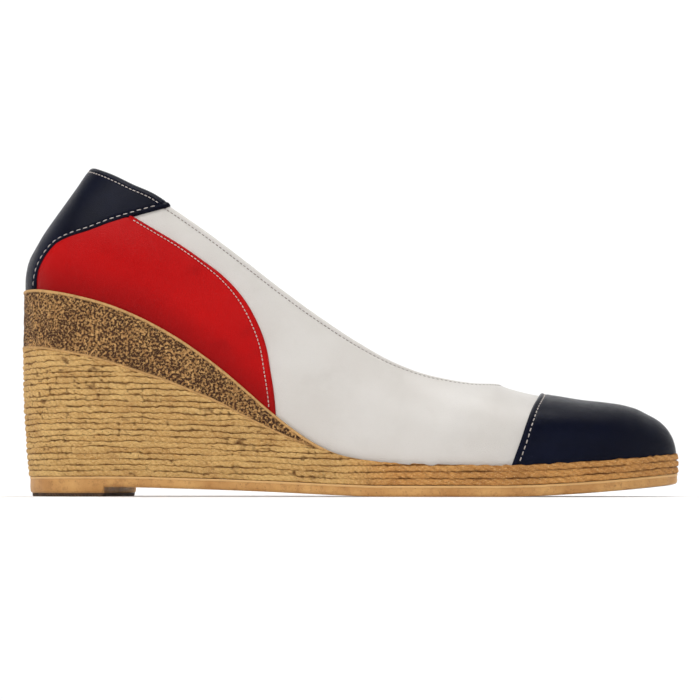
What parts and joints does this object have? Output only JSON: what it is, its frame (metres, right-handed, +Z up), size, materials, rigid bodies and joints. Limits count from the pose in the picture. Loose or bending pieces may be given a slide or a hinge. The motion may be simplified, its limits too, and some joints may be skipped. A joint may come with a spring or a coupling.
{
  "type": "wedge heel platform shoe",
  "caption": "Closed wedge heel platform shoe with a low-cut leather upper, toe cap, heel counter, quarter panels and a rope-ribbed wedge under a cork layer.",
  "frame": {"origin": "on the floor, at the middle of the shoe's length and width", "axes": "+X from heel to toe, -Y the outer side of a right shoe, +Z up from the floor it stands on"},
  "size_m": [0.246, 0.0782, 0.1249],
  "materials": {
    "tan_rubber": "satin tan rubber",
    "dark_rubber": "matte dark brown rubber",
    "rope": "moulded foam, striated like jute rope",
    "cork": "speckled agglomerated cork",
    "cream_leather": "smooth off-white calf",
    "red_leather": "smooth red calf",
    "navy_leather": "smooth dark navy calf, polished",
    "insole_leather": "plain light leather"
  },
  "bodies": {
    "root": {"outsole": "tan_rubber", "heel_top_piece": "dark_rubber", "rope_wedge": "rope", "cork_layer": "cork", "insole": "insole_leather", "upper": "cream_leather", "toe_cap": "navy_leather", "heel_counter": "navy_leather", "quarter_lateral": "red_leather", "quarter_medial": "red_leather"}
  },
  "joints": []
}
